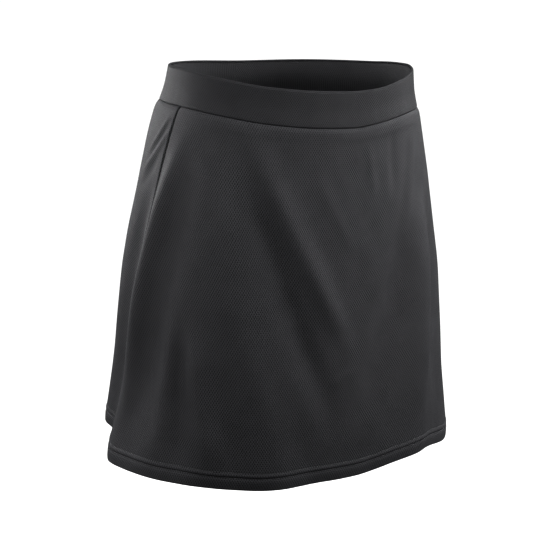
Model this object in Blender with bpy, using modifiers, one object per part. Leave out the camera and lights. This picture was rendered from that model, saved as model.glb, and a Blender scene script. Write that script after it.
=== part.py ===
"""Tennis skort as it sits on the waist and hips: an elasticated waistband, a flared skirt of two panels
and short knit shorts under it. All cloth is a thin wall round an empty middle.

Metres, +Z up, -Y is the wearer's front and -X the wearer's right. The origin is the middle of the waist,
half way up the waistband. A bearing is an angle in degrees round the body, 0 at the centre front, 90 at
the wearer's left side and -90 at the right side.
"""

import math
from collections import namedtuple

import bpy
import numpy as np

# ---- Driving dimensions -------------------------------------------------------------------------------

SEAM_GAP = 0.0003  # left between pieces that are sewn together
WAISTBAND_WALL = 0.0032  # two layers of knit with elastic between them
WAISTBAND_BULGE = 0.0004  # how far the elastic rounds the band's two faces
SKIRT_WALL = 0.0016
HEM_WALL = 0.0028  # the hem is turned up, so its wall is double
SHORTS_WALL = 0.0012

WAIST = -0.020  # nominal height of the waist seam
HEM = -0.375  # nominal height of the skirt's hem
HEM_DEPTH = 0.0126  # from the hem's edge up to its stitching
STITCH_GROOVE = 0.0009  # how far the hem's stitching pulls the cloth in
STITCH_GROOVE_WIDTH = 0.0015  # half the width of that groove
HEM_CURL = 0.0016  # how far its folded edge curls in
HEM_CURL_SHAPE = 1.3  # 1 is a straight slant, and more curls late
SPRING = 0.0013  # how far the skirt springs out just under the firm waistband
SPRING_DROP = 0.005  # within this drop, and it dies away over SPRING_FADE
SPRING_FADE = 0.030
ROUNDNESS = 2.28  # exponent of the body's section: 2 is an ellipse, more is squarer
SIDE_SEAM = 89.0  # bearing of the side seams at the waist
SEAM_LEAN = 15.0  # degrees that they run towards the back on their way to the hem
SEAM_STRIP = 0.4  # degrees of the narrow strip of wall along a side seam

CROTCH = -0.235
CROTCH_CURVE = -0.140  # height where the rise starts to curve in towards the crotch
LEG_HEM = -0.315

SKIRT_COLOUR = (0.030, 0.030, 0.034, 1.0)
SKIRT_ROUGHNESS = 0.72
WAISTBAND_COLOUR = (0.034, 0.034, 0.038, 1.0)
WAISTBAND_ROUGHNESS = 0.66
SHORTS_COLOUR = (0.026, 0.026, 0.030, 1.0)
SHORTS_ROUGHNESS = 0.75
SHARP_ANGLE = math.radians(50.0)  # edges that turn further than this are shaded sharp


def table(names, rows):
    """Columns of a table as arrays, by name."""
    return dict(zip(names.split(), np.array(rows, float).T))


# The skirt's smooth form: half its width and its depth in front of and behind the middle.
SKIRT_SECTIONS = table("height half_width front back", (
    (0.020, 0.1303, 0.1034, 0.1052),
    (0.000, 0.1316, 0.1054, 0.1112),
    (WAIST, 0.1361, 0.1095, 0.1196),
    (-0.032, 0.1403, 0.1108, 0.1244),
    (-0.110, 0.1567, 0.1232, 0.1333),
    (-0.200, 0.1718, 0.1347, 0.1406),
    (-0.290, 0.1792, 0.1449, 0.1415),
    (HEM, 0.1948, 0.1480, 0.1489),
))

# The shorts lie just inside it and follow the hips.
SHORTS_SECTIONS = table("height half_width front back", (
    (WAIST, 0.1325, 0.1068, 0.1167),
    (-0.060, 0.1405, 0.1105, 0.1205),
    (-0.110, 0.1495, 0.1160, 0.1265),
    (-0.160, 0.1555, 0.1200, 0.1300),
    (-0.200, 0.1580, 0.1200, 0.1290),
    (CROTCH, 0.1590, 0.1170, 0.1240),
))

# A leg of the shorts: an ellipse about a centre line that leans out a little. Down to the crotch it
# reaches the rise seam in the middle.
LEG_SECTIONS = table("height centre_x centre_y half_width half_depth", (
    (CROTCH_CURVE, 0.0785, 0.0060, 0.0783, 0.1000),
    (CROTCH, 0.0785, 0.0050, 0.0783, 0.0980),
    (LEG_HEM, 0.0835, 0.0030, 0.0755, 0.0900),
))

# Heights of the rim, the waist seam and the hem round the body: the front of the waist dips.
LEVELS = table("bearing rim waist hem", (
    (-180, 0.0160, -0.0205, -0.3740),
    (-145, 0.0172, -0.0192, -0.3690),
    (-118, 0.0179, -0.0189, -0.3590),
    (-110, 0.0181, -0.0188, -0.3615),
    (-105, 0.0180, -0.0188, -0.3660),
    (-101, 0.0177, -0.0190, -0.3770),
    (-97, 0.0175, -0.0191, -0.3865),
    (-88, 0.0167, -0.0195, -0.3860),
    (-80, 0.0154, -0.0204, -0.3852),
    (-66, 0.0124, -0.0232, -0.3850),
    (-45, 0.0070, -0.0287, -0.3862),
    (-20, 0.0042, -0.0320, -0.3830),
    (0, 0.0035, -0.0324, -0.3808),
    (20, 0.0058, -0.0278, -0.3735),
    (38, 0.0121, -0.0218, -0.3688),
    (47, 0.0155, -0.0197, -0.3710),
    (60, 0.0203, -0.0180, -0.3735),
    (75, 0.0238, -0.0174, -0.3715),
    (88, 0.0232, -0.0170, -0.3700),
    (105, 0.0208, -0.0172, -0.3705),
    (135, 0.0185, -0.0185, -0.3735),
))

# Folds of the skirt: the bearing of the crest at the waist, half way down and at the hem, where the fold
# begins and where it is full, its height out of the cloth (a trough is negative), the share of it that is
# left at the hem, and half its width in degrees towards the right side and towards the left side.
Fold = namedtuple("Fold", "name waist middle hem begins full height at_hem right_width left_width")
FOLDS = (
    Fold("ridge in front of the right seam", -81.0, -89.5, -94.0, -0.030, -0.130, 0.0100, 0.05, 4.5, 4.0),
    Fold("hollow of the right seam", -94.0, -102.0, -106.0, -0.070, -0.180, -0.0080, 1.7, 6.0, 5.0),
    Fold("flat of the right back hem", -118.0, -118.0, -117.0, -0.290, -0.370, -0.0045, 1.0, 10.0, 8.0),
    Fold("right thigh ridge", -63.0, -51.0, -33.0, -0.040, -0.130, 0.0078, 0.8, 11.0, 8.5),
    Fold("left thigh ridge", 50.0, 37.0, 31.0, -0.080, -0.180, 0.0090, 0.35, 9.0, 5.0),
    Fold("hollow behind the left thigh", 64.0, 50.0, 44.0, -0.090, -0.180, -0.0055, 0.3, 5.0, 5.0),
    Fold("ridge beside the left seam", 80.0, 84.0, 87.0, -0.060, -0.280, 0.0085, 1.0, 6.0, 4.5),
    Fold("hollow of the left seam", 94.0, 98.0, 105.0, -0.080, -0.330, -0.0100, 1.0, 6.5, 7.0),
    Fold("left back ridge", 112.0, 119.0, 126.0, -0.120, -0.330, 0.0080, 1.0, 8.0, 9.0),
    Fold("left back hollow", 130.0, 138.0, 145.0, -0.140, -0.330, -0.0055, 1.0, 8.0, 9.0),
    Fold("centre back ridge", 152.0, 160.0, 167.0, -0.100, -0.320, 0.0065, 1.0, 8.0, 10.0),
    Fold("centre back hollow", 178.0, 184.0, 190.0, -0.140, -0.330, -0.0050, 1.0, 9.0, 9.0),
    Fold("right back ridge", 200.0, 206.0, 211.0, -0.100, -0.320, 0.0050, 1.0, 8.0, 7.0),
)

# Main creases: soft ridges (or troughs, with a negative height) between two places on the cloth, with half
# their width in metres. They run on past both places and die away over a share of their length.
CREASE_PAST_ENDS = 0.1
CREASE_FADE = 0.4
Crease = namedtuple("Crease", "name bearing height to_bearing to_height out width")
CREASES = (
    Crease("slanting ridge from the right hip", -52.0, -0.026, -7.0, -0.235, 0.0058, 0.013),
    Crease("slanting hollow under it", -56.0, -0.056, -13.0, -0.312, -0.0058, 0.014),
    Crease("hollow in front of the right ridge", -74.0, -0.070, -85.0, -0.350, -0.0048, 0.014),
    Crease("narrow ridge at the right hem", -74.0, -0.215, -74.0, -0.360, 0.0020, 0.008),
    Crease("narrow hollow at the right hem", -69.5, -0.220, -66.0, -0.375, -0.0034, 0.009),
    Crease("ridge at the right knee", -65.0, -0.215, -54.0, -0.370, 0.0058, 0.011),
    Crease("hollow of the left thigh", 30.0, -0.130, 2.0, -0.320, -0.0050, 0.018),
)
MIDDLE = 0.5 * (WAIST + HEM)
BODY_RADIUS = 0.145  # mean radius, which turns a bearing into a distance across the cloth

# Nominal heights of the rows of points, closer together where the cloth turns.
STITCHING = HEM + HEM_DEPTH
SKIRT_ROWS = (
    WAIST, -0.0235, -0.030, -0.046, -0.068, -0.092, -0.118, -0.144, -0.170, -0.196, -0.222, -0.248,
    -0.274, -0.298, -0.320, -0.340, -0.354, STITCHING + 0.003, STITCHING, STITCHING - 0.003, HEM + 0.002, HEM,
)
WAISTBAND_ROWS = (0.0, 0.33, 0.68)  # shares of the way up its two faces
WAISTBAND_FOLD = (0.0, 45.0, 90.0, 135.0, 180.0)  # degrees round the folded edge
SHORTS_ROWS = (WAIST, -0.045, -0.075, -0.108, CROTCH_CURVE)
CROTCH_ROWS = 6
LEG_ROWS = (-0.262, -0.289, LEG_HEM)
FRONT_COLUMNS = 64
BACK_COLUMNS = 44
WAISTBAND_COLUMNS = 80
SHORTS_COLUMNS = 28
CROWDING = 0.4  # how much closer the skirt's columns stand at its side seams: 0 is evenly spaced
SHORTS_SLIT = 0.0004  # share of a row of the shorts left open at each end, for the rise seam and inseam


# ---- Curves and surfaces ------------------------------------------------------------------------------

def smooth_curve(stations, values, at):
    """A curve through the values that never overshoots them (monotone cubic)."""
    order = np.argsort(stations)
    x = np.asarray(stations, float)[order]
    y = np.asarray(values, float)[order]
    steps = np.diff(x)
    slopes = np.diff(y) / steps
    ahead = steps[:-1] + 2.0 * steps[1:]
    behind = 2.0 * steps[:-1] + steps[1:]
    turning = slopes[:-1] * slopes[1:] <= 0.0
    before = np.where(turning, 1.0, slopes[:-1])
    after = np.where(turning, 1.0, slopes[1:])
    mean = (ahead + behind) / (ahead / before + behind / after)
    tangents = np.concatenate(([slopes[0]], np.where(turning, 0.0, mean), [slopes[-1]]))
    at = np.clip(at, x[0], x[-1])
    i = np.clip(np.searchsorted(x, at) - 1, 0, len(steps) - 1)
    t = (at - x[i]) / steps[i]
    rise = y[i + 1] - y[i]
    start = steps[i] * tangents[i]
    end = steps[i] * tangents[i + 1]
    return y[i] + t * (start + t * (3.0 * rise - 2.0 * start - end + t * (start + end - 2.0 * rise)))


def eased(t):
    """0 to 1 with a level start and end."""
    t = np.clip(t, 0.0, 1.0)
    return t * t * (3.0 - 2.0 * t)


def level(column, bearing):
    """Height of the rim, waist or hem at a bearing, round and round."""
    turns = (LEVELS["bearing"] - 360.0, LEVELS["bearing"], LEVELS["bearing"] + 360.0)
    wrapped = (np.asarray(bearing, float) + 180.0) % 360.0 - 180.0
    return smooth_curve(np.concatenate(turns), np.tile(LEVELS[column], 3), wrapped)


def section_radius(sections, bearing, height):
    """Distance from the middle to the smooth form at a bearing and a nominal height."""
    sine, cosine = np.sin(np.radians(bearing)), np.cos(np.radians(bearing))
    width = smooth_curve(sections["height"], sections["half_width"], height)
    front = smooth_curve(sections["height"], sections["front"], height)
    back = smooth_curve(sections["height"], sections["back"], height)
    depth = np.where(cosine > 0.0, front, back)
    return (np.abs(sine / width) ** ROUNDNESS + np.abs(cosine / depth) ** ROUNDNESS) ** (-1.0 / ROUNDNESS)


def folds_and_creases(bearing, height):
    """How far the folds and creases lift the skirt off its smooth form."""
    relief = np.zeros(np.broadcast(bearing, height).shape)
    for fold in FOLDS:
        crest = smooth_curve((WAIST, MIDDLE, HEM), (fold.waist, fold.middle, fold.hem), height)
        across = (bearing - crest + 180.0) % 360.0 - 180.0
        half = np.where(across < 0.0, fold.right_width, fold.left_width)
        grown = eased((fold.begins - height) / (fold.begins - fold.full))
        left = 1.0 - (1.0 - fold.at_hem) * eased((MIDDLE - height) / (MIDDLE - HEM))
        relief = relief + fold.height * grown * left * np.exp(-((across / half) ** 2))
    for crease in CREASES:
        span = np.radians(crease.to_bearing - crease.bearing) * BODY_RADIUS, crease.to_height - crease.height
        length = math.hypot(*span)
        from_start = (bearing - crease.bearing + 180.0) % 360.0 - 180.0
        x, y = np.radians(from_start) * BODY_RADIUS, height - crease.height
        along = (x * span[0] + y * span[1]) / length ** 2
        beside = (x * span[1] - y * span[0]) / length
        ends = eased((along + CREASE_PAST_ENDS) / CREASE_FADE)
        ends = ends * eased((1.0 - along + CREASE_PAST_ENDS) / CREASE_FADE)
        relief = relief + crease.out * ends * np.exp(-((beside / crease.width) ** 2))
    return relief


def skirt_grid(bearings, heights):
    """Points of the skirt's outer face, a row for each height and a column for each bearing at the waist."""
    bearing, height = np.meshgrid(np.asarray(bearings), np.asarray(heights))
    under_waist = WAIST - height
    down = under_waist / (WAIST - HEM)
    place = bearing + SEAM_LEAN * down * np.sin(np.radians(bearing))
    groove = np.exp(-(((height - STITCHING) / STITCH_GROOVE_WIDTH) ** 2))
    curl = np.clip(1.0 - (height - HEM) / HEM_DEPTH, 0.0, 1.0) ** HEM_CURL_SHAPE
    spring = SPRING * eased(under_waist / SPRING_DROP) * np.exp(-under_waist / SPRING_FADE)
    radius = section_radius(SKIRT_SECTIONS, place, height) + folds_and_creases(place, height)
    radius = radius + spring - STITCH_GROOVE * groove - HEM_CURL * curl
    z = (1.0 - down) * (level("waist", place) - SEAM_GAP) + down * level("hem", place)
    angle = np.radians(place)
    return np.stack((radius * np.sin(angle), -radius * np.cos(angle), z), axis=-1)


def panel_bearings(first, last, columns):
    """Bearings across a panel, closer together at its side seams, half a seam gap inside them.

    A narrow strip along each seam gives both panels the same slope there, so their walls stay parallel.
    """
    side_radius = SKIRT_SECTIONS["half_width"].min()
    gap = np.degrees(0.5 * SEAM_GAP / side_radius)
    strip = np.array((first + gap + SEAM_STRIP, last - gap - SEAM_STRIP))
    across = np.linspace(-1.0, 1.0, columns + 1)
    across = (1.0 - CROWDING) * across + CROWDING * np.sin(0.5 * np.pi * across)
    bearings = 0.5 * (first + last) + (0.5 * (last - first) - gap) * across
    return np.sort(np.concatenate((bearings, strip)))


def shorts_grid():
    """Points of the right leg's outer face, from the centre front round the side to the centre back.

    Above the crotch a row is half of the hips' section. Through the crotch it closes to a leg's ellipse,
    whose two ends meet at the inseam.
    """
    closing = np.sin(np.linspace(0.0, 0.5 * np.pi, CROTCH_ROWS + 1))[1:]
    heights = np.concatenate((SHORTS_ROWS, CROTCH_CURVE + (CROTCH - CROTCH_CURVE) * closing, LEG_ROWS))
    columns = np.linspace(SHORTS_SLIT, 1.0 - SHORTS_SLIT, SHORTS_COLUMNS + 1)
    across, height = np.meshgrid(columns, heights)
    bearing = -180.0 * across
    hip_radius = section_radius(SHORTS_SECTIONS, bearing, height)
    hip_x = hip_radius * np.sin(np.radians(bearing))
    hip_y = -hip_radius * np.cos(np.radians(bearing))
    turn = np.radians(90.0 - 360.0 * across)
    leg = {name: smooth_curve(LEG_SECTIONS["height"], LEG_SECTIONS[name], height)
           for name in ("centre_x", "centre_y", "half_width", "half_depth")}
    leg_x = -leg["centre_x"] + leg["half_width"] * np.sin(turn)
    leg_y = leg["centre_y"] - leg["half_depth"] * np.cos(turn)
    into_curve = np.clip((CROTCH_CURVE - height) / (CROTCH_CURVE - CROTCH), 0.0, 1.0)
    closed = 1.0 - np.sqrt(1.0 - into_curve ** 2)
    dip = (level("waist", bearing) - WAIST) * (1.0 - eased((WAIST - height) / (WAIST - CROTCH_CURVE)))
    x = (1.0 - closed) * hip_x + closed * leg_x
    y = (1.0 - closed) * hip_y + closed * leg_y
    return np.stack((x, y, height + dip - SEAM_GAP), axis=-1)


def waistband_rings():
    """Rings of points of the folded waistband, from its outer bottom edge over the fold to the inner one."""
    bearing = np.linspace(-180.0, 180.0, WAISTBAND_COLUMNS, endpoint=False)
    rim, waist = level("rim", bearing), level("waist", bearing)
    fold_radius = 0.5 * WAISTBAND_WALL
    profile = []
    for up in WAISTBAND_ROWS:
        profile.append((WAISTBAND_BULGE * np.sin(np.pi * up), up, 0.0))
    for turn in WAISTBAND_FOLD:
        out = fold_radius * (np.cos(np.radians(turn)) - 1.0)
        profile.append((out, 1.0, fold_radius * (np.sin(np.radians(turn)) - 1.0)))
    for up in WAISTBAND_ROWS[::-1]:
        profile.append((-WAISTBAND_WALL - WAISTBAND_BULGE * np.sin(np.pi * up), up, 0.0))
    rings = []
    top = SKIRT_SECTIONS["height"].max()
    angle = np.radians(bearing)
    for out, up, above in profile:
        z = waist + (rim - waist) * up + above
        radius = section_radius(SKIRT_SECTIONS, bearing, WAIST + (top - WAIST) * up) + out
        rings.append(np.stack((radius * np.sin(angle), -radius * np.cos(angle), z), axis=-1))
    return np.array(rings)


# ---- Objects ------------------------------------------------------------------------------------------

def clear_scene():
    for old in list(bpy.data.objects):
        bpy.data.objects.remove(old, do_unlink=True)


def cloth_material(name, colour, roughness):
    material = bpy.data.materials.new(name)
    material.use_nodes = True
    shader = material.node_tree.nodes["Principled BSDF"]
    shader.inputs["Base Color"].default_value = colour
    shader.inputs["Roughness"].default_value = roughness
    shader.inputs["Metallic"].default_value = 0.0
    return material


def grid_faces(rows, columns, closed_rows=False, closed_columns=False):
    """Quads between neighbouring rows and columns of a grid of points."""
    faces = []
    for row in range(rows if closed_rows else rows - 1):
        for column in range(columns if closed_columns else columns - 1):
            below, beside = (row + 1) % rows, (column + 1) % columns
            faces.append((row * columns + column, below * columns + column,
                          below * columns + beside, row * columns + beside))
    return faces


def add_object(name, points, faces, material, collection):
    mesh = bpy.data.meshes.new(name)
    mesh.from_pydata(points.reshape(-1, 3).tolist(), [], faces)
    mesh.shade_smooth()
    mesh.set_sharp_from_angle(angle=SHARP_ANGLE)
    mesh.materials.append(material)
    piece = bpy.data.objects.new(name, mesh)
    collection.objects.link(piece)
    return piece


def add_wall(piece, thickness, thin_points=None, thin_share=1.0):
    """Gives an open sheet its wall, towards the body."""
    wall = piece.modifiers.new("wall", "SOLIDIFY")
    wall.thickness = thickness
    wall.offset = -1.0
    wall.use_even_offset = True
    if thin_points is not None:
        group = piece.vertex_groups.new(name="turned up hem")
        group.add(thin_points, 1.0, "REPLACE")
        wall.vertex_group = group.name
        wall.thickness_vertex_group = thin_share


def add_skirt_panel(name, first, last, columns, material, collection):
    bearings = panel_bearings(first, last, columns)
    grid = skirt_grid(bearings, SKIRT_ROWS)
    rows, across = grid.shape[:2]
    piece = add_object(name, grid, grid_faces(rows, across), material, collection)
    hem_rows = [row for row, height in enumerate(SKIRT_ROWS) if height <= STITCHING]
    hem_points = [row * across + column for row in hem_rows for column in range(across)]
    add_wall(piece, HEM_WALL, hem_points, SKIRT_WALL / HEM_WALL)
    return piece


def add_shorts_leg(name, side, material, collection):
    """One leg of the shorts; side is -1 for the wearer's right and 1 for the left."""
    grid = shorts_grid()
    if side > 0:
        grid = grid[:, ::-1] * (-1.0, 1.0, 1.0)
    rows, across = grid.shape[:2]
    piece = add_object(name, grid[:, ::-1], grid_faces(rows, across), material, collection)
    add_wall(piece, SHORTS_WALL)
    return piece


def add_waistband(material, collection):
    rings = waistband_rings()
    faces = grid_faces(rings.shape[0], rings.shape[1], closed_rows=True, closed_columns=True)
    return add_object("waistband", rings[::-1], faces, material, collection)


def build():
    clear_scene()
    skort = bpy.data.collections.new("tennis_skort")
    bpy.context.scene.collection.children.link(skort)
    skirt_knit = cloth_material("skirt mesh knit", SKIRT_COLOUR, SKIRT_ROUGHNESS)
    waistband_knit = cloth_material("waistband knit", WAISTBAND_COLOUR, WAISTBAND_ROUGHNESS)
    shorts_knit = cloth_material("shorts knit", SHORTS_COLOUR, SHORTS_ROUGHNESS)
    add_waistband(waistband_knit, skort)
    add_skirt_panel("skirt_front", -SIDE_SEAM, SIDE_SEAM, FRONT_COLUMNS, skirt_knit, skort)
    add_skirt_panel("skirt_back", SIDE_SEAM, 360.0 - SIDE_SEAM, BACK_COLUMNS, skirt_knit, skort)
    add_shorts_leg("shorts_right", -1.0, shorts_knit, skort)
    add_shorts_leg("shorts_left", 1.0, shorts_knit, skort)


build()
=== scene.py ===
"""The tennis skort's looks: knit cloth, hems, seams and stitching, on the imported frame's form.

Metres, +Z up, -Y is the wearer's front and -X the wearer's right. A bearing is an angle in degrees round the
body, 0 at the centre front and 90 at the wearer's left side. A nominal height runs from WAIST at the waist
seam to HEM at the skirt's hem, whatever the real height of those lines at a bearing.
"""

import math
from collections import namedtuple

import bpy
import numpy as np
from mathutils import Matrix, Vector


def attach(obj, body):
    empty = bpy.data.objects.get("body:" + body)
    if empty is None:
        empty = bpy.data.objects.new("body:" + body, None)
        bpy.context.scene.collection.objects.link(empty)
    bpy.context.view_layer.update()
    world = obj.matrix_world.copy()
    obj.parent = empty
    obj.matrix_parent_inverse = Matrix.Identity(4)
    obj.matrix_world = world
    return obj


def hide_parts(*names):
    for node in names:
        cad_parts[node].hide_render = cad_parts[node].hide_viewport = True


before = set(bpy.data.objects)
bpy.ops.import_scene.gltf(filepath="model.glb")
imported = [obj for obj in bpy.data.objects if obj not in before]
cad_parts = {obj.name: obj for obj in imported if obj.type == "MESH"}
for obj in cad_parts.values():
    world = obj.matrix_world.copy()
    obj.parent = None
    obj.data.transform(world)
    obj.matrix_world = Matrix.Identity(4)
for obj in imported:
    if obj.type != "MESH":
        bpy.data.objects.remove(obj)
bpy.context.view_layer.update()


# ==== Waistband ========================================================================================
# One strip of close knit folded over a wide elastic and joined into a ring. It is overlocked to the skirt
# and the shorts along its lower edge, so that edge rolls in to the seam. No stitching shows on its face.

RIM = 0.020  # nominal height of the waistband's folded edge
WAIST = -0.020
HEM = -0.375
ROUNDNESS = 2.28  # exponent of the body's section: 2 is an ellipse, more is squarer


def table(names, rows):
    """Columns of a table as arrays, by name."""
    return dict(zip(names.split(), np.array(rows, float).T))


# The skort's smooth form: half its width and its depth in front of and behind the middle.
SECTIONS = table("height half_width front back", (
    (RIM, 0.1303, 0.1034, 0.1052),
    (0.000, 0.1316, 0.1054, 0.1112),
    (WAIST, 0.1361, 0.1095, 0.1196),
    (-0.032, 0.1403, 0.1108, 0.1244),
    (-0.110, 0.1567, 0.1232, 0.1333),
    (-0.200, 0.1718, 0.1347, 0.1406),
    (-0.290, 0.1792, 0.1449, 0.1415),
    (HEM, 0.1948, 0.1480, 0.1489),
))

# Heights of the rim, the waist seam and the hem round the body: the front of the waist dips.
LEVELS = table("bearing rim waist hem", (
    (-180, 0.0160, -0.0205, -0.3740),
    (-145, 0.0172, -0.0192, -0.3690),
    (-118, 0.0179, -0.0189, -0.3590),
    (-110, 0.0181, -0.0188, -0.3615),
    (-105, 0.0180, -0.0188, -0.3660),
    (-101, 0.0177, -0.0190, -0.3770),
    (-97, 0.0175, -0.0191, -0.3865),
    (-88, 0.0167, -0.0195, -0.3860),
    (-80, 0.0154, -0.0204, -0.3852),
    (-66, 0.0124, -0.0232, -0.3850),
    (-45, 0.0070, -0.0287, -0.3862),
    (-20, 0.0042, -0.0320, -0.3830),
    (0, 0.0035, -0.0324, -0.3808),
    (20, 0.0058, -0.0278, -0.3735),
    (38, 0.0121, -0.0218, -0.3688),
    (47, 0.0155, -0.0197, -0.3710),
    (60, 0.0203, -0.0180, -0.3735),
    (75, 0.0238, -0.0174, -0.3715),
    (88, 0.0232, -0.0170, -0.3700),
    (105, 0.0208, -0.0172, -0.3705),
    (135, 0.0185, -0.0185, -0.3735),
))


def smooth_curve(stations, values, at):
    """A curve through the values that never overshoots them (monotone cubic)."""
    order = np.argsort(stations)
    x = np.asarray(stations, float)[order]
    y = np.asarray(values, float)[order]
    steps = np.diff(x)
    slopes = np.diff(y) / steps
    ahead = steps[:-1] + 2.0 * steps[1:]
    behind = 2.0 * steps[:-1] + steps[1:]
    turning = slopes[:-1] * slopes[1:] <= 0.0
    before = np.where(turning, 1.0, slopes[:-1])
    after = np.where(turning, 1.0, slopes[1:])
    mean = (ahead + behind) / (ahead / before + behind / after)
    tangents = np.concatenate(([slopes[0]], np.where(turning, 0.0, mean), [slopes[-1]]))
    at = np.clip(at, x[0], x[-1])
    i = np.clip(np.searchsorted(x, at) - 1, 0, len(steps) - 1)
    t = (at - x[i]) / steps[i]
    rise = y[i + 1] - y[i]
    start = steps[i] * tangents[i]
    end = steps[i] * tangents[i + 1]
    return y[i] + t * (start + t * (3.0 * rise - 2.0 * start - end + t * (start + end - 2.0 * rise)))


def eased(t):
    """0 to 1 with a level start and end."""
    t = np.clip(t, 0.0, 1.0)
    return t * t * (3.0 - 2.0 * t)


def level(column, bearing):
    """Height of the rim, waist or hem at a bearing, round and round."""
    turns = (LEVELS["bearing"] - 360.0, LEVELS["bearing"], LEVELS["bearing"] + 360.0)
    wrapped = (np.asarray(bearing, float) + 180.0) % 360.0 - 180.0
    return smooth_curve(np.concatenate(turns), np.tile(LEVELS[column], 3), wrapped)


def section_radius(sections, bearing, height):
    """Distance from the middle to the smooth form at a bearing and a nominal height."""
    sine, cosine = np.sin(np.radians(bearing)), np.cos(np.radians(bearing))
    width = smooth_curve(sections["height"], sections["half_width"], height)
    front = smooth_curve(sections["height"], sections["front"], height)
    back = smooth_curve(sections["height"], sections["back"], height)
    depth = np.where(cosine > 0.0, front, back)
    return (np.abs(sine / width) ** ROUNDNESS + np.abs(cosine / depth) ** ROUNDNESS) ** (-1.0 / ROUNDNESS)


def round_body(radius, bearing, z):
    """Points at a radius and a bearing round the body's upright axis."""
    angle = np.radians(bearing)
    return np.stack((radius * np.sin(angle), -radius * np.cos(angle), z), axis=-1)


def cloth_lengths(points, axis):
    """Length along the cloth from the first point of each row (axis 1) or column (axis 0) to every point."""
    steps = np.linalg.norm(np.diff(points, axis=axis), axis=-1)
    lengths = np.cumsum(steps, axis=axis)
    start = np.zeros_like(np.take(lengths, [0], axis=axis))
    return np.concatenate((start, lengths), axis=axis)


def cloth_piece(name, points, material, closed=False):
    """A sheet of quads through rows of points, with cloth coordinates in metres in its UV map."""
    rows, columns = points.shape[:2]
    seamed = np.concatenate((points, points[:, :1]), axis=1) if closed else points
    along = cloth_lengths(seamed, 1)
    along -= 0.5 * along[:, -1:]
    down = cloth_lengths(seamed, 0)
    cloth = np.stack((along, -np.broadcast_to(down.mean(axis=1, keepdims=True), down.shape)), axis=-1)
    row, column = np.meshgrid(np.arange(rows - 1), np.arange(seamed.shape[1] - 1), indexing="ij")
    beside = (column + 1) % columns
    quads = np.stack((row * columns + column, (row + 1) * columns + column,
                      (row + 1) * columns + beside, row * columns + beside), axis=-1)
    corners = np.stack((cloth[row, column], cloth[row + 1, column],
                        cloth[row + 1, column + 1], cloth[row, column + 1]), axis=2)
    mesh = bpy.data.meshes.new(name)
    mesh.from_pydata(points.reshape(-1, 3).tolist(), [], quads.reshape(-1, 4).tolist())
    mesh.uv_layers.new(name="cloth").data.foreach_set("uv", corners.astype(np.float32).ravel())
    mesh.shade_smooth()
    mesh.materials.append(material)
    piece = bpy.data.objects.new(name, mesh)
    bpy.context.scene.collection.objects.link(piece)
    return piece


def finish_material(name, roughness, sheen, sheen_roughness, specular):
    """A cloth's Principled material; its colour and bump are wired by the caller."""
    material = bpy.data.materials.new(name)
    material.use_nodes = True
    shader = material.node_tree.nodes["Principled BSDF"]
    shader.inputs["Roughness"].default_value = roughness
    shader.inputs["Specular IOR Level"].default_value = specular
    shader.inputs["Sheen Weight"].default_value = sheen
    shader.inputs["Sheen Roughness"].default_value = sheen_roughness
    shader.inputs["Sheen Tint"].default_value = (0.86, 0.86, 0.92, 1.0)
    return material, material.node_tree, shader


def add_node(tree, kind, settings=None, **inputs):
    """A node with its settings, and its named inputs set to values or linked to sockets."""
    made = tree.nodes.new(kind)
    for name, value in (settings or {}).items():
        setattr(made, name, value)
    for name, value in inputs.items():
        socket = made.inputs[int(name[1:])] if name[0] == "i" and name[1:].isdigit() else made.inputs[name]
        if isinstance(value, bpy.types.NodeSocket):
            tree.links.new(value, socket)
        else:
            socket.default_value = value
    return made


def maths(tree, operation, first, second=0.0):
    return add_node(tree, "ShaderNodeMath", {"operation": operation}, i0=first, i1=second).outputs[0]


def waves(tree, coordinate, period, phase=0.0):
    """Cosine of a cloth coordinate with a period in metres."""
    turned = maths(tree, "MULTIPLY_ADD", coordinate, 2.0 * math.pi / period)
    turned.node.inputs[2].default_value = phase
    return maths(tree, "COSINE", turned)


LOOPS_ACROSS = 3.0  # loops of yarn in a wale of the mesh
LOOPS_UP = 7.0  # and in a course
LOOP_SHARE = 0.16  # how far the loops stand out, against the depth of an eyelet
FUZZ_SHARE = 0.25
FUZZ_SCALE = 1400.0
PATCH_SCALE = 38.0  # the cloth's shade varies over two or three centimetres
PATCH_SHARE = 0.30


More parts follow.
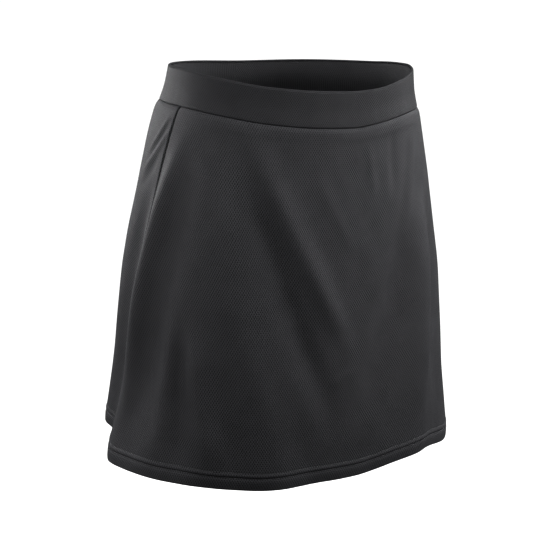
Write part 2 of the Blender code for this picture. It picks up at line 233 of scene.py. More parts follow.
def knit_material(name, yarn, eyelet, wale, course, eyelet_shade_share, relief, roughness=0.55):
    """Knit cloth: staggered eyelets a wale apart across and half a course apart up, between the loops.

    The eyelet colour is painted shade in the holes. eyelet_shade_share is how dark the eyelets go, and relief
    how deep they are, in metres.
    """
    material, tree, shader = finish_material(name, roughness, 0.0, 0.42, 0.03)
    cloth = add_node(tree, "ShaderNodeUVMap", {"uv_map": "cloth"}).outputs["UV"]
    parts = add_node(tree, "ShaderNodeSeparateXYZ", Vector=cloth).outputs
    lattice = maths(tree, "MULTIPLY", waves(tree, parts[0], wale), waves(tree, parts[1], course))
    hollow = add_node(tree, "ShaderNodeMapRange", {"interpolation_type": "SMOOTHSTEP"}, Value=lattice)
    hollow.inputs["From Min"].default_value = -0.35
    hollow.inputs["From Max"].default_value = 0.85
    loops = maths(tree, "MULTIPLY", waves(tree, parts[0], wale / LOOPS_ACROSS),
                  waves(tree, parts[1], course / LOOPS_UP))
    patches = add_node(tree, "ShaderNodeTexNoise", {"noise_dimensions": "3D"}, Vector=cloth)
    patches.inputs["Scale"].default_value = PATCH_SCALE
    patches.inputs["Detail"].default_value = 3.0
    fuzz = add_node(tree, "ShaderNodeTexNoise", {"noise_dimensions": "3D"}, Vector=cloth)
    fuzz.inputs["Scale"].default_value = FUZZ_SCALE
    fuzz.inputs["Detail"].default_value = 2.0
    # painted shade: the eyelets are darkened towards the eyelet colour
    dark = maths(tree, "MULTIPLY", hollow.outputs["Result"], eyelet_shade_share)
    mottled = maths(tree, "MULTIPLY_ADD", patches.outputs["Fac"], -PATCH_SHARE)
    mottled.node.inputs[2].default_value = 0.5 * PATCH_SHARE
    share = maths(tree, "ADD", dark, mottled)
    colour = add_node(tree, "ShaderNodeMix", {"data_type": "RGBA"})
    tree.links.new(share, colour.inputs["Factor"])
    colour.inputs[6].default_value = yarn
    colour.inputs[7].default_value = eyelet
    tree.links.new(colour.outputs[2], shader.inputs["Base Color"])
    raised = maths(tree, "MULTIPLY_ADD", loops, LOOP_SHARE)
    raised.node.inputs[2].default_value = 1.0
    fuzzy = maths(tree, "MULTIPLY_ADD", fuzz.outputs["Fac"], FUZZ_SHARE)
    tree.links.new(raised, fuzzy.node.inputs[2])
    height = maths(tree, "SUBTRACT", fuzzy, hollow.outputs["Result"])
    bump = add_node(tree, "ShaderNodeBump", Height=height)
    bump.inputs["Strength"].default_value = 1.0
    bump.inputs["Distance"].default_value = relief
    tree.links.new(bump.outputs["Normal"], shader.inputs["Normal"])
    return material


BAND_WALL = 0.0032  # two layers of knit with the elastic between them
BAND_BULGE = 0.0004  # how far the elastic rounds the band's two faces
BAND_ROLL = 0.0005  # how far the lower edge rolls in to the seam
BAND_ROLL_DEPTH = 0.0012  # over this height
BAND_COLUMNS = 440
PUCKER = 0.00004  # the faint upright puckers that the elastic draws in the knit
PUCKER_FADE = 0.75  # share of them that is gone at the fold

Pucker = namedtuple("Pucker", "waves phase share")
PUCKERS = (Pucker(31, 0.4, 1.0), Pucker(47, 1.9, 0.8), Pucker(73, 0.7, 0.6))

# Shares of the way up a face of the band, closest together at its rolled edge.
BAND_UPS = np.concatenate(((0.0, 0.006, 0.014, 0.024, 0.038, 0.055, 0.08, 0.13), np.linspace(0.19, 0.93, 13),
                           (0.975,)))


def band_relief(bearing, up):
    """The puckers, strongest at the seam."""
    relief = sum(p.share * np.sin(np.radians(p.waves * bearing) + p.phase) for p in PUCKERS)
    return PUCKER * relief * (1.0 - PUCKER_FADE * eased(up))


def waistband_rings():
    """Rings of points from the middle of the lower edge up inside, over the fold and down the outer face."""
    bearing = np.linspace(-180.0, 180.0, BAND_COLUMNS, endpoint=False)
    rim, waist = level("rim", bearing), level("waist", bearing)
    fold = 0.5 * BAND_WALL
    rings = [(-fold, 0.0, 0.0, 0.0)]
    rings += [(0.0, up, 0.0, 1.0) for up in BAND_UPS]
    rings += [(fold * (math.cos(a) - 1.0), 1.0, fold * (math.sin(a) - 1.0), 0.0)
              for a in np.radians(np.linspace(0.0, 180.0, 11))]
    rings += [(-BAND_WALL, up, 0.0, -1.0) for up in BAND_UPS[::-1]]
    rings += [(-fold, 0.0, 0.0, 0.0)]
    points = []
    for out, up, above, face in rings:
        rolled = BAND_ROLL * (1.0 - eased(up * (RIM - WAIST) / BAND_ROLL_DEPTH))
        swell = BAND_BULGE * math.sin(math.pi * up) - rolled
        radius = section_radius(SECTIONS, bearing, WAIST + (RIM - WAIST) * up) + out
        radius = radius + face * swell + abs(face) * band_relief(bearing, up)
        points.append(round_body(radius, bearing, waist + (rim - waist) * up + above))
    return np.array(points[::-1])


# Each knit's second colour is painted shade in its eyelets.
band_knit = knit_material("waistband knit", (0.0250, 0.0250, 0.0264, 1.0), (0.0070, 0.0070, 0.0075, 1.0),
                          0.0024, 0.0036, 0.80, 0.00018)
# The inner layer is the same knit painted lighter: painted light on the inside of the band.
band_knit_painted_lighter = knit_material("waistband knit, inner layer painted lighter", (0.0440, 0.0440, 0.0460, 1.0),
                           (0.0180, 0.0180, 0.0190, 1.0), 0.0024, 0.0036, 0.75, 0.00016)
rings = waistband_rings()
waistband = cloth_piece("waistband_cloth", rings, band_knit, closed=True)
waistband.data.materials.append(band_knit_painted_lighter)
inner_rows = 1 + len(BAND_UPS)
# faces inside the band take the knit painted lighter
inside = np.repeat(np.arange(len(rings) - 1) < inner_rows, BAND_COLUMNS)
waistband.data.polygons.foreach_set("material_index", inside.astype(np.int32))
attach(waistband, "root")
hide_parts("waistband")


# ==== Skirt panels =====================================================================================
# Two flared panels of bird's-eye mesh knit, sewn to the waistband and to each other at the side seams.
# Where a panel is sewn its edge rolls in. Each hem is turned up once and held by a twin-needle stitch.

SEAM_GAP = 0.0003
SIDE_GAP = -0.0002  # at the side seams the two panels are pulled together
SKIRT_CLOTH = 0.0009  # thickness of one layer of the knit
SPRING = 0.0013  # how far the skirt springs out just under the firm waistband
SPRING_DROP = 0.005
SPRING_FADE = 0.030
SEAM_ROLL = 0.0006  # how far a sewn edge rolls in
SEAM_ROLL_WIDTH = 0.0014
SIDE_SEAM = 89.0  # bearing of the side seams at the waist
SEAM_LEAN = 15.0  # degrees that they run towards the back on their way to the hem
SIDE_ROLL = 0.0026  # the side seam lies deeper than the waist seam
SIDE_ROLL_WIDTH = 0.0026
SIDE_ROLL_SHAPE = 1.5  # more is a sharper groove
HEM_LINES = table("above depth width", (
    (0.0126, 0.00044, 0.0011),
    (0.0178, 0.00014, 0.0009),
))
HEM_TURN = 0.0215  # how far up the hem's inner layer reaches
HEM_FOLD = 0.00098  # radius of the folded edge
HEM_SWELL = 0.0004  # how far the doubled cloth stands out below the stitching
HEM_SWELL_RISE = 0.003  # it rises over this height at the fold
HEM_SWELL_FALL = 0.004  # and falls over this one at the stitching
RIDGE_SWELL = 0.0005  # how far the strip between the two rows stands out
RIDGE_WIDTH = 0.0016
HEM_CURL = 0.0016  # how far the folded edge curls in
HEM_CURL_SHAPE = 1.3  # 1 is a straight slant, and more curls late

# Folds: the bearing of the crest at the waist, half way down and at the hem, where the fold begins and where
# it is full, its height out of the cloth (a trough is negative), the share of it that is left at the hem, and
# half its width in degrees towards the right side and towards the left side.
Fold = namedtuple("Fold", "name waist middle hem begins full height at_hem right_width left_width")
FOLDS = (
    Fold("ridge in front of the right seam", -81.0, -89.5, -94.0, -0.030, -0.130, 0.0100, 0.05, 4.5, 4.0),
    Fold("hollow of the right seam", -94.0, -102.0, -106.0, -0.070, -0.180, -0.0080, 1.7, 6.0, 5.0),
    Fold("flat of the right back hem", -118.0, -118.0, -117.0, -0.290, -0.370, -0.0045, 1.0, 10.0, 8.0),
    Fold("right thigh ridge", -63.0, -51.0, -33.0, -0.040, -0.130, 0.0078, 0.8, 11.0, 8.5),
    Fold("left thigh ridge", 50.0, 37.0, 31.0, -0.080, -0.180, 0.0090, 0.35, 9.0, 5.0),
    Fold("hollow behind the left thigh", 64.0, 50.0, 44.0, -0.090, -0.180, -0.0055, 0.3, 5.0, 5.0),
    Fold("ridge beside the left seam", 80.0, 84.0, 87.0, -0.060, -0.280, 0.0085, 1.0, 6.0, 4.5),
    Fold("hollow of the left seam", 94.0, 98.0, 105.0, -0.080, -0.330, -0.0100, 1.0, 6.5, 7.0),
    Fold("left back ridge", 112.0, 119.0, 126.0, -0.120, -0.330, 0.0080, 1.0, 8.0, 9.0),
    Fold("left back hollow", 130.0, 138.0, 145.0, -0.140, -0.330, -0.0055, 1.0, 8.0, 9.0),
    Fold("centre back ridge", 152.0, 160.0, 167.0, -0.100, -0.320, 0.0065, 1.0, 8.0, 10.0),
    Fold("centre back hollow", 178.0, 184.0, 190.0, -0.140, -0.330, -0.0050, 1.0, 9.0, 9.0),
    Fold("right back ridge", 200.0, 206.0, 211.0, -0.100, -0.320, 0.0050, 1.0, 8.0, 7.0),
)

# Creases: short soft ridges (or troughs, with a negative height) between two places on the cloth, with half
# their width in metres. They run on past both places and die away over a share of their length.
CREASE_PAST_ENDS = 0.1
CREASE_FADE = 0.4
Crease = namedtuple("Crease", "name bearing height to_bearing to_height out width")
CREASES = (
    Crease("slanting ridge from the right hip", -52.0, -0.026, -7.0, -0.235, 0.0058, 0.013),
    Crease("slanting hollow under it", -56.0, -0.056, -13.0, -0.312, -0.0058, 0.014),
    Crease("second slanting ridge", -20.0, -0.070, -2.0, -0.145, 0.0012, 0.009),
    Crease("short crease in the hollow", -14.0, -0.277, -3.0, -0.262, 0.0006, 0.004),
    Crease("faint ridge down the right hip", -68.0, -0.045, -67.0, -0.150, 0.0008, 0.010),
    Crease("hollow in front of the right ridge", -74.0, -0.070, -85.0, -0.350, -0.0048, 0.014),
    Crease("narrow ridge at the right hem", -74.0, -0.215, -74.0, -0.360, 0.0020, 0.008),
    Crease("narrow hollow at the right hem", -69.5, -0.220, -66.0, -0.375, -0.0034, 0.009),
    Crease("ridge at the right knee", -65.0, -0.215, -54.0, -0.370, 0.0058, 0.011),
    Crease("hollow of the left thigh", 30.0, -0.130, 2.0, -0.320, -0.0050, 0.018),
    Crease("pull from the left waist", 43.0, -0.036, 29.0, -0.130, 0.0015, 0.007),
    Crease("narrow hollow under the left waist", 26.0, -0.030, 24.0, -0.100, -0.0009, 0.007),
    Crease("short ridge under the left waist", 9.0, -0.036, 12.0, -0.095, 0.0010, 0.007),
    Crease("pucker at the right hem", -76.0, -0.333, -64.0, -0.328, 0.0003, 0.0018),
    Crease("pull at the right seam, upper", -93.0, -0.030, -104.5, -0.071, 0.0011, 0.0030),
    Crease("pull at the right seam, lower", -90.5, -0.041, -106.5, -0.094, 0.0013, 0.0034),
    Crease("hollow between the pulls", -92.0, -0.036, -105.5, -0.082, -0.0009, 0.0038),
    Crease("hollow under the pulls", -94.5, -0.068, -107.0, -0.112, -0.0008, 0.0045),
    Crease("pull at the left seam, upper", 93.5, -0.034, 103.0, -0.066, 0.0009, 0.0034),
    Crease("pull at the left seam, lower", 92.0, -0.050, 104.0, -0.096, 0.0010, 0.0038),
    Crease("hollow at the left seam", 92.5, -0.042, 104.0, -0.080, -0.0007, 0.0040),
    Crease("seam allowance, left front", -16.0, -0.0300, 60.0, -0.0305, 0.0005, 0.0026),
    Crease("seam allowance, right front", -72.0, -0.0300, -22.0, -0.0300, 0.0003, 0.0026),
    Crease("seam allowance, back", 118.0, -0.0300, 238.0, -0.0305, 0.0004, 0.0028),
    Crease("drag over the left hip", 58.0, -0.034, 36.0, -0.094, 0.0007, 0.0070),
    Crease("drag over the seat, left", 128.0, -0.040, 160.0, -0.092, 0.0008, 0.0075),
    Crease("drag over the seat, right", 232.0, -0.038, 203.0, -0.088, 0.0007, 0.0070),
    Crease("soft dent in the right back", 222.0, -0.150, 214.0, -0.225, -0.0009, 0.0085),
    Crease("soft dent in the left back", 141.0, -0.120, 150.0, -0.190, -0.0008, 0.0080),
)
MIDDLE = 0.5 * (WAIST + HEM)
BODY_RADIUS = 0.145  # mean radius, which turns a bearing into a distance across the cloth

Ripple = namedtuple("Ripple", "across down phase share")
RIPPLES = (
    Ripple(0.071, 0.152, 0.3, 1.0),
    Ripple(-0.048, 0.117, 1.7, 0.9),
    Ripple(0.033, 0.083, 4.1, 0.7),
    Ripple(-0.026, 0.061, 2.6, 0.5),
)
RIPPLE = 0.00013  # the cloth is never quite smooth
RIPPLE_START = 0.05  # the ripples grow over this drop below the waist seam


def folds_and_creases(bearing, height):
    """How far the folds, creases and ripples lift the skirt off its smooth form."""
    relief = np.zeros(np.broadcast(bearing, height).shape)
    for fold in FOLDS:
        crest = smooth_curve((WAIST, MIDDLE, HEM), (fold.waist, fold.middle, fold.hem), height)
        across = (bearing - crest + 180.0) % 360.0 - 180.0
        half = np.where(across < 0.0, fold.right_width, fold.left_width)
        grown = eased((fold.begins - height) / (fold.begins - fold.full))
        left = 1.0 - (1.0 - fold.at_hem) * eased((MIDDLE - height) / (MIDDLE - HEM))
        relief = relief + fold.height * grown * left * np.exp(-((across / half) ** 2))
    for crease in CREASES:
        span = np.radians(crease.to_bearing - crease.bearing) * BODY_RADIUS, crease.to_height - crease.height
        length = math.hypot(*span)
        from_start = (bearing - crease.bearing + 180.0) % 360.0 - 180.0
        x, y = np.radians(from_start) * BODY_RADIUS, height - crease.height
        along = (x * span[0] + y * span[1]) / length ** 2
        beside = (x * span[1] - y * span[0]) / length
        ends = eased((along + CREASE_PAST_ENDS) / CREASE_FADE)
        ends = ends * eased((1.0 - along + CREASE_PAST_ENDS) / CREASE_FADE)
        relief = relief + crease.out * ends * np.exp(-((beside / crease.width) ** 2))
    x = np.radians(bearing) * BODY_RADIUS
    ripples = sum(r.share * np.sin(2.0 * np.pi * (x / r.across + height / r.down) + r.phase) for r in RIPPLES)
    return relief + RIPPLE * ripples * eased((WAIST - height) / RIPPLE_START)


def hem_relief(height):
    """The hem's twin rows of stitching sink in, and the cloth between and below them stands out."""
    above = height - HEM
    lower, upper = HEM_LINES["above"]
    relief = HEM_SWELL * eased(above / HEM_SWELL_RISE + 0.5) * eased((lower - above) / HEM_SWELL_FALL)
    relief = relief - HEM_CURL * np.clip(1.0 - above / lower, 0.0, 1.0) ** HEM_CURL_SHAPE
    middle = 0.5 * (lower + upper)
    relief = relief + RIDGE_SWELL * np.exp(-(((above - middle) / RIDGE_WIDTH) ** 2))
    for row in range(len(HEM_LINES["above"])):
        off = (above - HEM_LINES["above"][row]) / HEM_LINES["width"][row]
        relief = relief - HEM_LINES["depth"][row] * np.exp(-(off ** 2))
    return relief


def skirt_face(bearing, height, sewn=True, hemmed=True):
    """Points of the skirt's outer face, in arrays of one shape: bearings at the waist and nominal heights."""
    under_waist = WAIST - height
    spring = SPRING * eased(under_waist / SPRING_DROP) * np.exp(-under_waist / SPRING_FADE)
    down = under_waist / (WAIST - HEM)
    place = bearing + SEAM_LEAN * down * np.sin(np.radians(bearing))
    radius = section_radius(SECTIONS, place, height) + folds_and_creases(place, height) + spring
    if hemmed:
        radius = radius + hem_relief(height)
    if sewn:
        from_side = np.radians(np.abs(np.abs((bearing + 180.0) % 360.0 - 180.0) - SIDE_SEAM)) * BODY_RADIUS
        waist_roll = SEAM_ROLL * (1.0 - eased(under_waist / SEAM_ROLL_WIDTH))
        side_roll = SIDE_ROLL * (1.0 - eased(from_side / SIDE_ROLL_WIDTH)) ** SIDE_ROLL_SHAPE
        radius = radius - np.maximum(waist_roll, side_roll)
    z = (1.0 - down) * (level("waist", place) - SEAM_GAP) + down * level("hem", place)
    return round_body(radius, place, z)


def outward(points):
    """Unit normals of rows of points that run down, in columns that run towards the wearer's left."""
    normals = np.cross(np.gradient(points, axis=0), np.gradient(points, axis=1))
    return normals / np.linalg.norm(normals, axis=-1, keepdims=True)


def side_spaced(first, last, columns):
    """Bearings across a panel, much closer together in the few millimetres beside its seams."""
    gap = math.degrees(0.5 * SIDE_GAP / BODY_RADIUS)
    edge = np.degrees(np.array((0.0, 0.3, 0.7, 1.2, 1.8, 2.5, 3.4, 4.6, 6.2, 8.0)) * 0.001 / BODY_RADIUS)
    inner = np.linspace(first + gap + 1.3 * edge[-1], last - gap - 1.3 * edge[-1], columns - 2 * len(edge))
    return np.concatenate((first + gap + edge, inner, (last - gap - edge)[::-1]))


def turned_up(face, arc_steps, inner_face):
    """Adds a folded edge and the turned-up layer inside to a sheet whose last row is at the fold."""
    normals = outward(face)[-1]
    down = face[-1] - face[-2]
    down /= np.linalg.norm(down, axis=-1, keepdims=True)
    turns = np.radians(np.linspace(0.0, 180.0, arc_steps + 1))[1:]
    arc = [face[-1] - normals * HEM_FOLD * (1.0 - math.cos(t)) + down * HEM_FOLD * math.sin(t) for t in turns]
    inner = inner_face - outward(inner_face) * 2.0 * HEM_FOLD
    return np.concatenate((face, np.array(arc), inner[::-1][1:]))


def skirt_sheet(bearings):
    """Rows of a panel: down its outer face, round the folded edge and up inside to the hem's raw edge."""
    under_seam = WAIST - np.array((0.0, 0.2, 0.45, 0.75, 1.1, 1.5, 2.0, 2.7, 3.6, 5.0, 7.0, 9.2)) * 0.001
    above_hem = HEM + np.array((24.0, 22.5, 21.5, 20.9, 20.4, 19.9, 19.5, 19.1, 18.7, 18.2, 17.6, 17.0, 16.4,
                                15.7, 15.1, 14.6, 14.2, 13.8, 13.4, 13.0, 12.5, 11.8, 10.8, 9.2, 7.0,
                                4.8, 3.0, 1.8, 0.98)) * 0.001
    middle = np.linspace(under_seam[-1], above_hem[0], 136)[1:-1]
    heights = np.concatenate((under_seam, middle, above_hem))
    face = skirt_face(*np.meshgrid(bearings, heights))
    inner_heights = HEM + np.linspace(HEM_TURN, HEM_FOLD, 12)
    inner_face = skirt_face(*np.meshgrid(bearings, inner_heights), hemmed=False)
    return turned_up(face, 6, inner_face)


def solidify(piece, thickness):
    """Gives a sheet its thickness, towards the side away from its face."""
    wall = piece.modifiers.new("cloth thickness", "SOLIDIFY")
    wall.thickness = thickness
    wall.offset = -1.0
    wall.use_even_offset = False
    return piece


# The second colour is painted shade in the eyelets.
skirt_knit = knit_material("skirt mesh knit", (0.0325, 0.0325, 0.0343, 1.0), (0.0085, 0.0085, 0.0092, 1.0),
                           0.0026, 0.0041, 0.85, 0.00025)
PANELS = {"front": (-SIDE_SEAM, SIDE_SEAM), "back": (SIDE_SEAM, 360.0 - SIDE_SEAM)}
Cut = namedtuple("Cut", "width length area")  # with the hem's turning
PANEL_COLUMNS = 236
skirt_pieces = {}
for side, (first, last) in PANELS.items():
    sheet = skirt_sheet(side_spaced(first, last, PANEL_COLUMNS))
    panel = solidify(cloth_piece(f"skirt_{side}_cloth", sheet, skirt_knit), SKIRT_CLOTH)
    skirt_pieces[side] = panel


# ==== Hem stitching ====================================================================================
# A twin-needle stitch in polyester thread the colour of the cloth: two rows of short straight stitches on
# the outside. Inside, its looper thread runs to and fro between the rows and covers the raw edge.

STITCH_PITCH = 0.0028
STITCH_LENGTH = 0.0023
THREAD_WIDTH = 0.00042
THREAD_HEIGHT = 0.00030


def stitch_tree():
    """Geometry nodes: a thread bead at even steps along edges, lying along them or slanted to and fro."""
    tree = bpy.data.node_groups.new("row of stitches", "GeometryNodeTree")
    face = tree.interface
    face.new_socket("Geometry", in_out="INPUT", socket_type="NodeSocketGeometry")
    for name in ("Pitch", "Length", "Width", "Height", "Slant"):
        face.new_socket(name, in_out="INPUT", socket_type="NodeSocketFloat")
    face.new_socket("Thread", in_out="INPUT", socket_type="NodeSocketMaterial")
    face.new_socket("Geometry", in_out="OUTPUT", socket_type="NodeSocketGeometry")
    given = tree.nodes.new("NodeGroupInput").outputs
    curve = add_node(tree, "GeometryNodeMeshToCurve", Mesh=given["Geometry"]).outputs["Curve"]
    steps = add_node(tree, "GeometryNodeResampleCurve", {"mode": "LENGTH"}, Curve=curve,
                     Length=given["Pitch"])
    size = add_node(tree, "ShaderNodeCombineXYZ", X=given["Length"], Y=given["Width"], Z=given["Height"])
    bead = add_node(tree, "GeometryNodeMeshUVSphere")
    bead.inputs["Segments"].default_value = 6
    bead.inputs["Rings"].default_value = 5
    bead.inputs["Radius"].default_value = 0.5
    upright = add_node(tree, "GeometryNodeTransform", Geometry=bead.outputs["Mesh"])
    upright.inputs["Rotation"].default_value = (0.0, 0.5 * math.pi, 0.0)
    sized = add_node(tree, "GeometryNodeTransform", Geometry=upright.outputs["Geometry"],
                     Scale=size.outputs["Vector"])
    tangent = add_node(tree, "GeometryNodeInputTangent").outputs["Tangent"]
    facing = add_node(tree, "GeometryNodeInputNamedAttribute", {"data_type": "FLOAT_VECTOR"}, Name="facing")
    lying = add_node(tree, "FunctionNodeAlignRotationToVector", {"axis": "X"}, Vector=tangent)
    turned = add_node(tree, "FunctionNodeAlignRotationToVector", {"axis": "Z", "pivot_axis": "X"},
                      Rotation=lying.outputs["Rotation"], Vector=facing.outputs["Attribute"])
    index = add_node(tree, "GeometryNodeInputIndex").outputs["Index"]
    odd = maths(tree, "MODULO", index, 2.0)
    sign = maths(tree, "MULTIPLY_ADD", odd, 2.0)
    sign.node.inputs[2].default_value = -1.0
    slant = maths(tree, "MULTIPLY", sign, given["Slant"])
    swing = add_node(tree, "ShaderNodeCombineXYZ", Z=slant).outputs["Vector"]
    swung = add_node(tree, "FunctionNodeEulerToRotation", Euler=swing).outputs["Rotation"]
    placed = add_node(tree, "FunctionNodeRotateRotation", {"rotation_space": "LOCAL"},
                      Rotation=turned.outputs["Rotation"])
    tree.links.new(swung, placed.inputs["Rotate By"])
    row = add_node(tree, "GeometryNodeInstanceOnPoints", Points=steps.outputs["Curve"],
                   Instance=sized.outputs["Geometry"], Rotation=placed.outputs["Rotation"])
    real = add_node(tree, "GeometryNodeRealizeInstances", Geometry=row.outputs["Instances"])
    smooth = add_node(tree, "GeometryNodeSetShadeSmooth", Geometry=real.outputs["Geometry"])
    done = add_node(tree, "GeometryNodeSetMaterial", Geometry=smooth.outputs["Geometry"],
                    Material=given["Thread"])
    out = tree.nodes.new("NodeGroupOutput")
    tree.links.new(done.outputs["Geometry"], out.inputs["Geometry"])
    return tree


ROW_OF_STITCHES = stitch_tree()


def sew(name, lines, thread, pitch, length, width, height, slant=0.0):
    """Stitches along lines, each a list of points and the direction that the cloth faces at each."""
    points, edges, facing = [], [], []
    for line, out in lines:
        start = len(points)
        points += line.tolist()
        facing.append(out)
        edges += [(i, i + 1) for i in range(start, start + len(line) - 1)]
    mesh = bpy.data.meshes.new(name + "_line")
    mesh.from_pydata(points, edges, [])
    mesh.attributes.new("facing", "FLOAT_VECTOR", "POINT").data.foreach_set(
        "vector", np.concatenate(facing).astype(np.float32).ravel())
    guide = bpy.data.objects.new(name + "_line", mesh)
    bpy.context.scene.collection.objects.link(guide)
    rows = guide.modifiers.new("stitches", "NODES")
    rows.node_group = ROW_OF_STITCHES
    given = {s.name: s.identifier for s in ROW_OF_STITCHES.interface.items_tree
             if s.item_type == "SOCKET" and s.in_out == "INPUT"}
    values = {"Pitch": pitch, "Length": length, "Width": width, "Height": height, "Slant": slant}
    for socket, value in values.items():
        rows[given[socket]] = value
    rows[given["Thread"]] = thread
    bpy.context.view_layer.update()
    evaluated = guide.evaluated_get(bpy.context.evaluated_depsgraph_get())
    stitches = bpy.data.objects.new(name, bpy.data.meshes.new_from_object(evaluated))
    stitches.data.name = name
    bpy.context.scene.collection.objects.link(stitches)
    bpy.data.objects.remove(guide, do_unlink=True)
    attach(stitches, "root")
    return stitches


def thread_material(name, colour):
    """Twisted polyester thread, a little shinier than the knit."""
    material, tree, shader = finish_material(name, 0.48, 0.20, 0.4, 0.35)
    place = add_node(tree, "ShaderNodeTexCoord").outputs["Object"]
    strands = add_node(tree, "ShaderNodeTexNoise", Vector=place)
    strands.inputs["Scale"].default_value = 2600.0
    light = add_node(tree, "ShaderNodeMix", {"data_type": "RGBA"})
    tree.links.new(strands.outputs["Fac"], light.inputs["Factor"])
    light.inputs[6].default_value = [0.6 * c for c in colour[:3]] + [1.0]
    light.inputs[7].default_value = [1.5 * c for c in colour[:3]] + [1.0]
    tree.links.new(light.outputs[2], shader.inputs["Base Color"])
    bump = add_node(tree, "ShaderNodeBump", Height=strands.outputs["Fac"])
    bump.inputs["Strength"].default_value = 0.6
    bump.inputs["Distance"].default_value = 0.0001
    tree.links.new(bump.outputs["Normal"], shader.inputs["Normal"])
    return material


def lines_on(grid_row_pairs, lift):
    """Stitching lines from (points, outward directions), lifted off the cloth."""
    return [(points + out * lift, out) for points, out in grid_row_pairs]


def rows_at(face, bearings, heights, **options):
    """For each nominal height, the face's points and normals along a panel's bearings."""
    step = 0.0004
    found = []
    for height in heights:
        grid = face(*np.meshgrid(bearings, (height + step, height, height - step)), **options)
        found.append((grid[1], outward(grid)[1]))
    return found


thread = thread_material("charcoal thread", (0.030, 0.030, 0.032))
hem_heights = HEM + HEM_LINES["above"]
for side, (first, last) in PANELS.items():
    bearings = np.linspace(first + 0.9, last - 0.9, 900)
    outer = lines_on(rows_at(skirt_face, bearings, hem_heights), 0.00002)
    needle_rows = sew(f"hem_needle_rows_{side}", outer, thread, STITCH_PITCH, STITCH_LENGTH,
                      THREAD_WIDTH, THREAD_HEIGHT)
    middle = float(hem_heights.mean())
    between = [(points - out * (2.0 * HEM_FOLD + 0.0001), -out)
               for points, out in rows_at(skirt_face, bearings, (middle,), hemmed=False)]
    looper = sew(f"hem_looper_thread_{side}", between, thread, 0.0014, 0.0058, 0.00040, 0.00035, slant=1.25)
    panel = skirt_pieces[side]
    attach(panel, "root")
    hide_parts(f"skirt_{side}")


# ==== Shorts ===========================================================================================
# Close stretch-knit shorts under the skirt, one piece for each leg, joined along the rise in front and
# behind and sewn to the same waist seam. Each leg's hem is turned up and twin-stitched.

SHORTS_CLOTH = 0.0008
CROTCH = -0.235
CROTCH_CURVE = -0.140  # height where the rise starts to curve in towards the crotch
LEG_HEM = -0.315
SEWN_IN = 0.0005  # share of a row that each end runs past the seam, so that the seam is closed
LEG_TURN = 0.018
LEG_LINES = (0.0150, 0.0120)
LEG_RIPPLE = 0.0025  # share by which slanting ripples lift the cloth
SHORTS_SECTIONS = table("height half_width front back", (
    (WAIST, 0.1325, 0.1068, 0.1167),
    (-0.060, 0.1405, 0.1105, 0.1205),
    (-0.110, 0.1495, 0.1160, 0.1265),
    (-0.160, 0.1555, 0.1200, 0.1300),
    (-0.200, 0.1580, 0.1200, 0.1290),
    (CROTCH, 0.1590, 0.1170, 0.1240),
))
LEG_SECTIONS = table("height centre_x centre_y half_width half_depth", (
    (CROTCH_CURVE, 0.0785, 0.0060, 0.0788, 0.1000),
    (CROTCH, 0.0785, 0.0050, 0.0788, 0.0980),
    (LEG_HEM, 0.0835, 0.0030, 0.0755, 0.0900),
))


def shorts_face(across, height):
    """Points of the right leg's outer face; across runs 0 to 1 from the centre front round the side.

    Above the crotch a row is half of the hips' section. Through the crotch it closes to a leg's ellipse,
    whose two ends meet at the inseam.
    """
    bearing = -180.0 * across
    hip_radius = section_radius(SHORTS_SECTIONS, bearing, height)
    hip = round_body(hip_radius, bearing, height)
    turn = np.radians(90.0 - 360.0 * across)
    leg = {name: smooth_curve(LEG_SECTIONS["height"], LEG_SECTIONS[name], height)
           for name in ("centre_x", "centre_y", "half_width", "half_depth")}
    leg_x = -leg["centre_x"] + leg["half_width"] * np.sin(turn)
    leg_y = leg["centre_y"] - leg["half_depth"] * np.cos(turn)
    into_curve = np.clip((CROTCH_CURVE - height) / (CROTCH_CURVE - CROTCH), 0.0, 1.0)
    closed = 1.0 - np.sqrt(1.0 - into_curve ** 2)
    dip = (level("waist", bearing) - WAIST) * (1.0 - eased((WAIST - height) / (WAIST - CROTCH_CURVE)))
    x = (1.0 - closed) * hip[..., 0] + closed * leg_x
    y = (1.0 - closed) * hip[..., 1] + closed * leg_y
    scale = 1.0 + LEG_RIPPLE * np.sin(40.0 * across + 90.0 * height) * np.sin(np.pi * across)
    return np.stack((x * scale, y * scale, height + dip - SEAM_GAP), axis=-1)


def shorts_sheet():
    """Rows of the right leg from the waist seam to the hem, its folded edge and its turned-up layer."""
    edge = np.array((0.0, 0.002, 0.005, 0.009)) - SEWN_IN
    across = np.concatenate((edge, np.linspace(0.016, 0.984, 112), (1.0 - edge)[::-1]))
    closing = np.sin(np.linspace(0.0, 0.5 * np.pi, 26))[1:]
    heights = np.concatenate((np.linspace(WAIST, CROTCH_CURVE, 34),
                              CROTCH_CURVE + (CROTCH - CROTCH_CURVE) * closing,
                              np.linspace(CROTCH, LEG_HEM + HEM_FOLD, 28)[1:]))
    face = shorts_face(*np.meshgrid(across, heights))
    inner_heights = np.linspace(LEG_HEM + LEG_TURN, LEG_HEM + HEM_FOLD, 9)
    inner_face = shorts_face(*np.meshgrid(across, inner_heights))
    return turned_up(face[:, ::-1], 6, inner_face[:, ::-1])
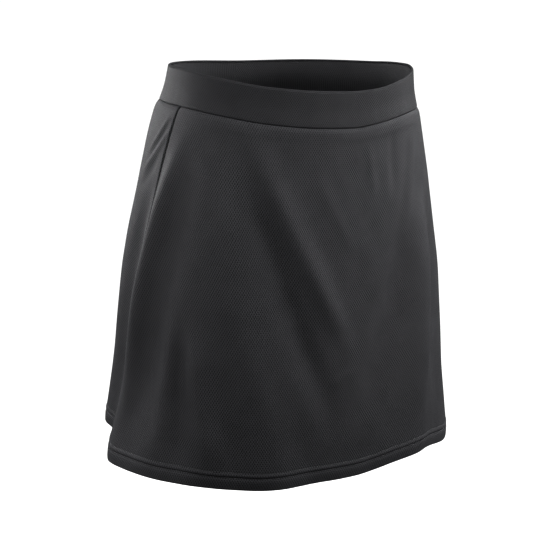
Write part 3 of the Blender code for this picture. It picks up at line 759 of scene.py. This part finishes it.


# The second colour is painted shade in the eyelets.
shorts_knit = knit_material("shorts stretch knit", (0.0270, 0.0270, 0.0286, 1.0),
                            (0.0165, 0.0165, 0.0175, 1.0), 0.0012, 0.0016, 0.35, 0.00006,
                            roughness=0.58)
MIRROR = np.array((-1.0, 1.0, 1.0))
for side in ("right", "left"):
    sheet = shorts_sheet()
    if side == "left":
        sheet = sheet[:, ::-1] * MIRROR
    shorts = solidify(cloth_piece(f"shorts_{side}_cloth", sheet, shorts_knit), SHORTS_CLOTH)
    leg_lines = []
    across = np.linspace(0.006, 0.994, 500)
    for above in LEG_LINES:
        grid = shorts_face(*np.meshgrid(across, LEG_HEM + above + np.array((0.0004, 0.0, -0.0004))))[:, ::-1]
        if side == "left":
            grid = grid[:, ::-1] * MIRROR
        leg_lines.append((grid[1] + outward(grid)[1] * 0.00005, outward(grid)[1]))
    leg_rows = sew(f"leg_hem_needle_rows_{side}", leg_lines, thread, STITCH_PITCH, STITCH_LENGTH,
                   THREAD_WIDTH, THREAD_HEIGHT)
    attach(shorts, "root")
    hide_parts(f"shorts_{side}")


# ==== Studio ===========================================================================================
# A wide pale floor well below the skort with an even soft light from above, large soft lights beside and
# behind it on both sides, weaker ones high in front, and a long lens a little above the waist.

FLOOR = -1.0
floor_mesh = bpy.data.meshes.new("floor")
REACH = 40.0
floor_mesh.from_pydata([(-REACH, -REACH, FLOOR), (REACH, -REACH, FLOOR), (REACH, REACH, FLOOR),
                        (-REACH, REACH, FLOOR)], [], [(0, 1, 2, 3)])
floor = bpy.data.objects.new("floor", floor_mesh)
bpy.context.scene.collection.objects.link(floor)
floor_finish = bpy.data.materials.new("pale floor")
floor_finish.use_nodes = True
floor_finish.node_tree.nodes["Principled BSDF"].inputs["Base Color"].default_value = (0.92, 0.92, 0.92, 1.0)
floor_finish.node_tree.nodes["Principled BSDF"].inputs["Roughness"].default_value = 0.9
floor_finish.node_tree.nodes["Principled BSDF"].inputs["Specular IOR Level"].default_value = 0.0
floor_mesh.materials.append(floor_finish)
floor.visible_diffuse = False  # no light thrown up at the cloth
floor.visible_glossy = False

world = bpy.data.worlds.new("studio")
bpy.context.scene.world = world
world.use_nodes = True
world.node_tree.nodes["Background"].inputs["Color"].default_value = (1.0, 1.0, 1.0, 1.0)
world.node_tree.nodes["Background"].inputs["Strength"].default_value = 0.13

VIEW_AZIMUTH = -34.64
VIEW_HEIGHT = 10.92
VIEW_DISTANCE = 1.925
VIEW_ROLL = -2.55
VIEW_CENTRE = Vector((0.0, 0.0, -0.18))
AIM_RIGHT = -0.0136
AIM_UP = -0.0162
LENS = 121.6
SENSOR = 36.0


def around(azimuth, height, distance):
    """A place round the skort: azimuth 0 in front of the wearer, 90 at the wearer's left."""
    a, h = math.radians(azimuth), math.radians(height)
    towards_place = Vector((math.sin(a) * math.cos(h), -math.cos(a) * math.cos(h), math.sin(h)))
    return VIEW_CENTRE + distance * towards_place


def soft_light(name, azimuth, height, distance, width, tall, power):
    """A rectangular soft light facing the skort."""
    lamp = bpy.data.lights.new(name, "AREA")
    lamp.shape = "RECTANGLE"
    lamp.size, lamp.size_y, lamp.energy = width, tall, power
    light = bpy.data.objects.new(name, lamp)
    bpy.context.scene.collection.objects.link(light)
    place = around(azimuth, height, distance)
    light.location = place
    light.rotation_euler = (VIEW_CENTRE - place).to_track_quat("-Z", "Y").to_euler()
    return light


soft_light("right_back_light", VIEW_AZIMUTH - 122.0, 15.0, 1.1, 0.70, 0.45, 14.0)
soft_light("right_side_light", VIEW_AZIMUTH - 62.0, 13.0, 1.1, 0.60, 0.50, 13.5)
soft_light("front_high_light", VIEW_AZIMUTH - 10.0, 65.0, 1.1, 0.60, 0.50, 3.5)
soft_light("left_front_light", VIEW_AZIMUTH + 45.0, 50.0, 1.1, 0.60, 0.50, 9.0)
soft_light("left_side_light", VIEW_AZIMUTH + 62.0, 12.0, 1.1, 0.80, 0.45, 10.5)
soft_light("left_back_light", VIEW_AZIMUTH + 112.0, 30.0, 1.1, 0.80, 0.45, 19.0)
overhead = bpy.data.lights.new("overhead", "SUN")
overhead.energy = 2.2
overhead.angle = math.radians(60.0)
overhead_light = bpy.data.objects.new("overhead", overhead)
bpy.context.scene.collection.objects.link(overhead_light)

towards = (around(VIEW_AZIMUTH, VIEW_HEIGHT, 1.0) - VIEW_CENTRE).normalized()
right = Vector((math.cos(math.radians(VIEW_AZIMUTH)), math.sin(math.radians(VIEW_AZIMUTH)), 0.0))
up = towards.cross(right)
roll = math.radians(VIEW_ROLL)
image_right = right * math.cos(roll) - up * math.sin(roll)
image_up = right * math.sin(roll) + up * math.cos(roll)
eye = VIEW_CENTRE + right * AIM_RIGHT + up * AIM_UP + towards * VIEW_DISTANCE
camera_data = bpy.data.cameras.new("camera")
camera_data.sensor_width = SENSOR
camera_data.lens = LENS
camera = bpy.data.objects.new("camera", camera_data)
bpy.context.scene.collection.objects.link(camera)
camera.matrix_world = Matrix((
    (image_right.x, image_up.x, towards.x, eye.x),
    (image_right.y, image_up.y, towards.y, eye.y),
    (image_right.z, image_up.z, towards.z, eye.z),
    (0.0, 0.0, 0.0, 1.0),
))
bpy.context.scene.camera = camera
bpy.context.scene.view_settings.view_transform = "Standard"
bpy.context.scene.view_settings.look = "High Contrast"
